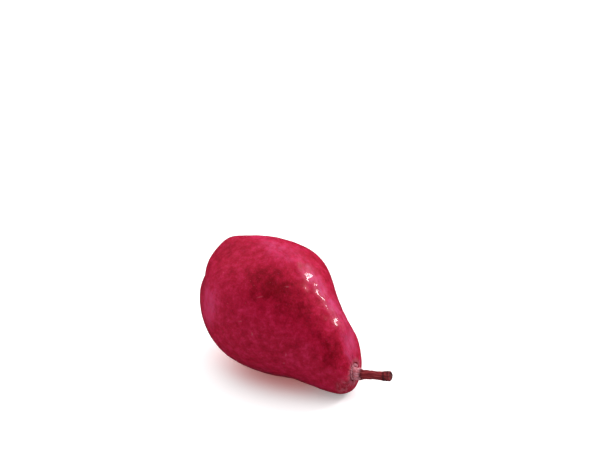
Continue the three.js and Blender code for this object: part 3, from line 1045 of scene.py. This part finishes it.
    roughness = ramp(plus(russet, (bloom_and_sheen, 1.2)), 0.0, 1.0, 0.34, 0.62)
    fine = noise(place, 0.9, detail=3.0, roughness=0.6)
    pebble = noise(place, 0.31, detail=2.0, roughness=0.5)
    height = plus(0.0, (pebble, 0.03), (fine, 0.07), (pore, 0.012), (russet, 0.05), (under, fold, -0.06))
    finish_material(nodes, colour, roughness, height, {
        "Specular IOR Level": 0.05,
        "Coat Weight": 0.25, "Coat Roughness": 0.06,
        "Subsurface Weight": 0.10, "Subsurface Radius": (1.0, 0.25, 0.15), "Subsurface Scale": 0.0015,
    })
    return material


def bark_material(stem):
    """The stem's bark: maroon with redder fibres, dark rings on the knob and dry wood at the cut."""
    material, nodes = new_material("Pear stem bark")
    plus, times, ramp, group = nodes.plus, nodes.times, nodes.ramp, nodes.group
    grain, ends = nodes.attribute("grain"), nodes.split(nodes.attribute("ends"))
    along, cut = ends[0], ends[1]
    fibre = group("Fibres", grain, 7.0, 3.2, 0.46, 0.60)
    fine = group("Fibres", grain, 2.6, 9.0, 0.38, 0.68)
    widened = nodes.vector("MULTIPLY", grain, (1.0, 2.0, 2.0))
    cloud = group("Clouds", widened, 2.2)
    dot = group("Dots", widened, 1.3, 0.2, 0.4)
    knob = ramp(along, 18.9, 20.4)
    ring = group("Fibres", nodes.vector("MULTIPLY", grain, (9.0, 0.12, 0.12)), 6.0, 3.0, 0.40, 0.62)
    scar = times(knob, plus(0.2, (ring, 0.8)))

    # The foot is still covered by the fruit's pink skin, drawn into pleats that end raggedly. Just past the
    # ragged edge a dark ring is a painted shadow line.
    ragged = plus(along, (fine, 1.6))
    foot = ramp(ragged, STEM_FOOT + 0.9, STEM_FOOT + 0.2)
    pleat = group("Fibres", grain, 9.0, 4.5, 0.36, 0.60)
    flesh = nodes.mix(times(pleat, 0.5), stem.foot, stem.streak)
    rim = times(ramp(ragged, STEM_FOOT, STEM_FOOT + 0.8), ramp(ragged, STEM_FOOT + 2.2, STEM_FOOT + 0.9))

    face = ramp(cut, 0.12, 0.4)
    colour = nodes.layers(
        stem.bark,
        (stem.streak, fibre, 0.75),
        (stem.scar, fine, 0.45),
        (stem.scar, scar, 0.95),
        (stem.foot, dot, plus(0.1, (knob, 0.3))),
        (flesh, foot),
        # Painted shadow: the dark ring past the foot's ragged edge, in the scar colour.
        (stem.scar, rim, 0.7),
        (stem.cut, face, plus(0.9, (cloud, -0.5))))
    roughness = ramp(nodes.math("ADD", fine, face), 0.0, 2.0, 0.45, 0.85)
    height = plus(0.0, (fine, 0.06), (fibre, 0.08), (scar, 0.10), (dot, 0.03))
    finish_material(nodes, colour, roughness, height, {"Specular IOR Level": 0.2})
    return material


def dried_material(calyx):
    """The dried calyx: brown fibrous sepals with nearly black tips and edges, and paler stamens."""
    material, nodes = new_material("Pear dried calyx")
    grain, ends = nodes.attribute("grain"), nodes.split(nodes.attribute("ends"))
    along, edge, stamen = ends[0], ends[1], ends[2]
    fibre = nodes.group("Fibres", grain, 4.0, 5.0, 0.38, 0.64)
    cloud = nodes.group("Clouds", pear_space(nodes), 0.9, 0.38, 0.66)
    dark = nodes.plus(nodes.ramp(along, 0.45, 1.0), (nodes.ramp(edge, 0.7, 1.0), 0.4), clamp=True)
    pale = nodes.times(stamen, nodes.ramp(along, 0.2, 0.8, 1.0, 0.0))
    colour = nodes.layers(
        calyx.dry,
        (calyx.stamen, fibre, 0.55),
        (calyx.tip, nodes.most(dark, nodes.times(cloud, 0.6))),
        (calyx.stamen, pale, 0.8))
    roughness = nodes.ramp(cloud, 0.0, 1.0, 0.62, 0.9)
    height = nodes.plus(0.0, (fibre, 0.07), (cloud, 0.08))
    finish_material(nodes, colour, roughness, height, {"Specular IOR Level": 0.3})
    return material


# ---------------------------------------------------------------- stage

def lay_floor(stage):
    """A plain pale floor under the pear, with painted red bounce light and contact shade beside it."""
    half = stage.floor_size / 2
    mesh = bpy.data.meshes.new("floor")
    corners = [(-half, -half, 0), (half, -half, 0), (half, half, 0), (-half, half, 0)]
    mesh.from_pydata(corners, [], [(0, 1, 2, 3)])
    floor = new_object("floor", mesh)
    material, nodes = new_material("Floor")
    seen = nodes.add("ShaderNodeLightPath").outputs["Is Camera Ray"]
    place = nodes.add("ShaderNodeTexCoord").outputs["Object"]
    # Painted red bounce light and contact shade: near the pear the floor's glow turns red and dimmer.
    painted_bounce = patch(nodes, place, PAINTED_BOUNCE_MIDDLE, PAINTED_BOUNCE_HALF, inner=0.38, outer=0.88)
    surface = nodes.add("ShaderNodeBsdfPrincipled", {
        "Base Color": nodes.mix(seen, (stage.floor_bounce,) * 3, stage.floor_colour),
        "Roughness": 0.9, "Specular IOR Level": 0.0,
        "Emission Color": nodes.mix(painted_bounce, (1.0, 1.0, 1.0), stage.painted_bounce),
        "Emission Strength": nodes.times(seen, stage.floor_glow)})
    nodes.add("ShaderNodeOutputMaterial", {"Surface": surface.outputs[0]})
    floor.visible_glossy = False
    mesh.materials.append(material)
    floor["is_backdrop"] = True


def sky_light(nodes, heading, seen_from, edge, dim, bright):
    """A soft round light in the sky, bright where it is seen from and dim where the cosine is edge."""
    cosine = nodes.vector("DOT_PRODUCT", heading, towards(*seen_from), output="Value")
    return nodes.ramp(cosine, edge, 1.0, dim, bright)


def light_studio(stage):
    """A world that shows plain white but lights and mirrors less than that, and a key light.

    It lights from all round, from a broad glow behind and above, and softly from the left. What
    the pear mirrors of it is a dim sheen from behind and a soft halo round the key.
    """
    scene = bpy.context.scene
    world = scene.world or bpy.data.worlds.new("Studio")
    scene.world = world
    world.use_nodes = True
    nodes = Nodes(world.node_tree)
    heading = nodes.add("ShaderNodeTexCoord").outputs["Generated"]
    glow, side, sheen, halo = (sky_light(nodes, heading, *light) for light in (
        (GLOW_FROM, 0.0, 0.0, stage.glow),
        (SIDE_FROM, 0.2, 0.0, stage.side),
        (SHEEN_FROM, 0.60, 0.02, stage.sheen),
        (HALO_FROM, 0.93, 0.0, stage.halo),
    ))
    lit = nodes.chain("ADD", glow, side, stage.around)
    mirrored = nodes.math("ADD", sheen, halo)
    path = nodes.add("ShaderNodeLightPath").outputs
    lighting = nodes.plus(lit, (path["Is Glossy Ray"], nodes.math("SUBTRACT", mirrored, lit)))
    strength = nodes.most(path["Is Camera Ray"], lighting)
    background = nodes.add("ShaderNodeBackground", {"Color": (1.0, 1.0, 1.0, 1.0), "Strength": strength})
    nodes.add("ShaderNodeOutputWorld", {"Surface": background.outputs[0]})
    place_key(stage.key)


def place_key(power):
    """The key light: a rectangle that looks at the pear from KEY_FROM."""
    azimuth, elevation = KEY_FROM
    data = bpy.data.lights.new("key", "AREA")
    data.shape = "RECTANGLE"
    data.size, data.size_y = KEY_SIZE
    data.energy = power
    light = new_object("key", data)
    light.location = (0.0, 0.0, BELLY_HEIGHT * MM) + KEY_DISTANCE * np.array(towards(azimuth, elevation))
    light.rotation_euler = (math.pi / 2 - math.radians(elevation), 0.0, math.radians(azimuth) + math.pi / 2)


def set_camera():
    """The camera at its viewing angle, with the view shown as it is, without a film look."""
    scene = bpy.context.scene
    data = bpy.data.cameras.new("camera")
    data.sensor_width, data.lens = 36.0, CAMERA_LENS
    data.clip_start, data.clip_end = 0.01, 50.0
    camera = new_object("camera", data)
    camera.location = CAMERA_PLACE
    camera.rotation_euler = (math.pi / 2 - CAMERA_RISE, 0.0, CAMERA_TURN)
    scene.camera = camera
    scene.view_settings.view_transform = "Standard"
    scene.view_settings.look = "None"


# ---------------------------------------------------------------- operators

class PEAR_OT_fruit(bpy.types.Operator):
    """Make the fruit and its skin"""

    bl_idname = "pear.fruit"
    bl_label = "Fruit"

    def execute(self, context):
        settings = context.scene.pear_fruit
        return place_piece(
            "pear_fruit", fruit_shape(settings), skin_material(settings), "fruit")


class PEAR_OT_stem(bpy.types.Operator):
    """Make the stem and its bark"""

    bl_idname = "pear.stem"
    bl_label = "Stem"

    def execute(self, context):
        settings = context.scene.pear_stem
        return place_piece(
            "pear_stem", stem_shape(settings), bark_material(settings), "stem")


class PEAR_OT_calyx(bpy.types.Operator):
    """Make the dried calyx"""

    bl_idname = "pear.calyx"
    bl_label = "Calyx"

    def execute(self, context):
        settings = context.scene.pear_calyx
        return place_piece(
            "pear_calyx", calyx_shape(settings), dried_material(settings), "calyx")


class PEAR_OT_stage(bpy.types.Operator):
    """Lay the floor, light the studio and set the camera"""

    bl_idname = "pear.stage"
    bl_label = "Stage"

    def execute(self, context):
        lay_floor(context.scene.pear_stage)
        light_studio(context.scene.pear_stage)
        set_camera()
        return {"FINISHED"}


class VIEW3D_PT_pear(bpy.types.Panel):
    """Settings and steps of the pear"""

    bl_idname = "VIEW3D_PT_pear"
    bl_label = "Pear"
    bl_space_type = "VIEW_3D"
    bl_region_type = "UI"
    bl_category = "Pear"

    def draw(self, context):
        for step in SETTINGS:
            box = self.layout.box()
            settings = getattr(context.scene, step)
            for name in settings.__annotations__:
                box.prop(settings, name)
            box.operator(step.replace("_", "."))


SETTINGS = {
    "pear_stage": PearStageSettings,
    "pear_fruit": PearFruitSettings,
    "pear_stem": PearStemSettings,
    "pear_calyx": PearCalyxSettings,
}
CLASSES = (PEAR_OT_stage, PEAR_OT_fruit, PEAR_OT_stem, PEAR_OT_calyx, VIEW3D_PT_pear)


def register():
    """Registers the settings, the operators and the panel."""
    for name, settings in SETTINGS.items():
        bpy.utils.register_class(settings)
        setattr(bpy.types.Scene, name, bpy.props.PointerProperty(type=settings))
    for item in CLASSES:
        bpy.utils.register_class(item)


def unregister():
    """Removes the panel, the operators and the settings."""
    for item in reversed(CLASSES):
        bpy.utils.unregister_class(item)
    for name, settings in SETTINGS.items():
        delattr(bpy.types.Scene, name)
        bpy.utils.unregister_class(settings)


def main():
    """Builds the pear on its stage."""
    register()
    bpy.ops.pear.stage()
    bpy.ops.pear.fruit()
    bpy.ops.pear.stem()
    bpy.ops.pear.calyx()
    boxes = {"cad": CAD_BOX, "visual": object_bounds()}
    {name: [[float(v) for v in corner] for corner in box] for name, box in boxes.items()}


if __name__ == "__main__":
    main()
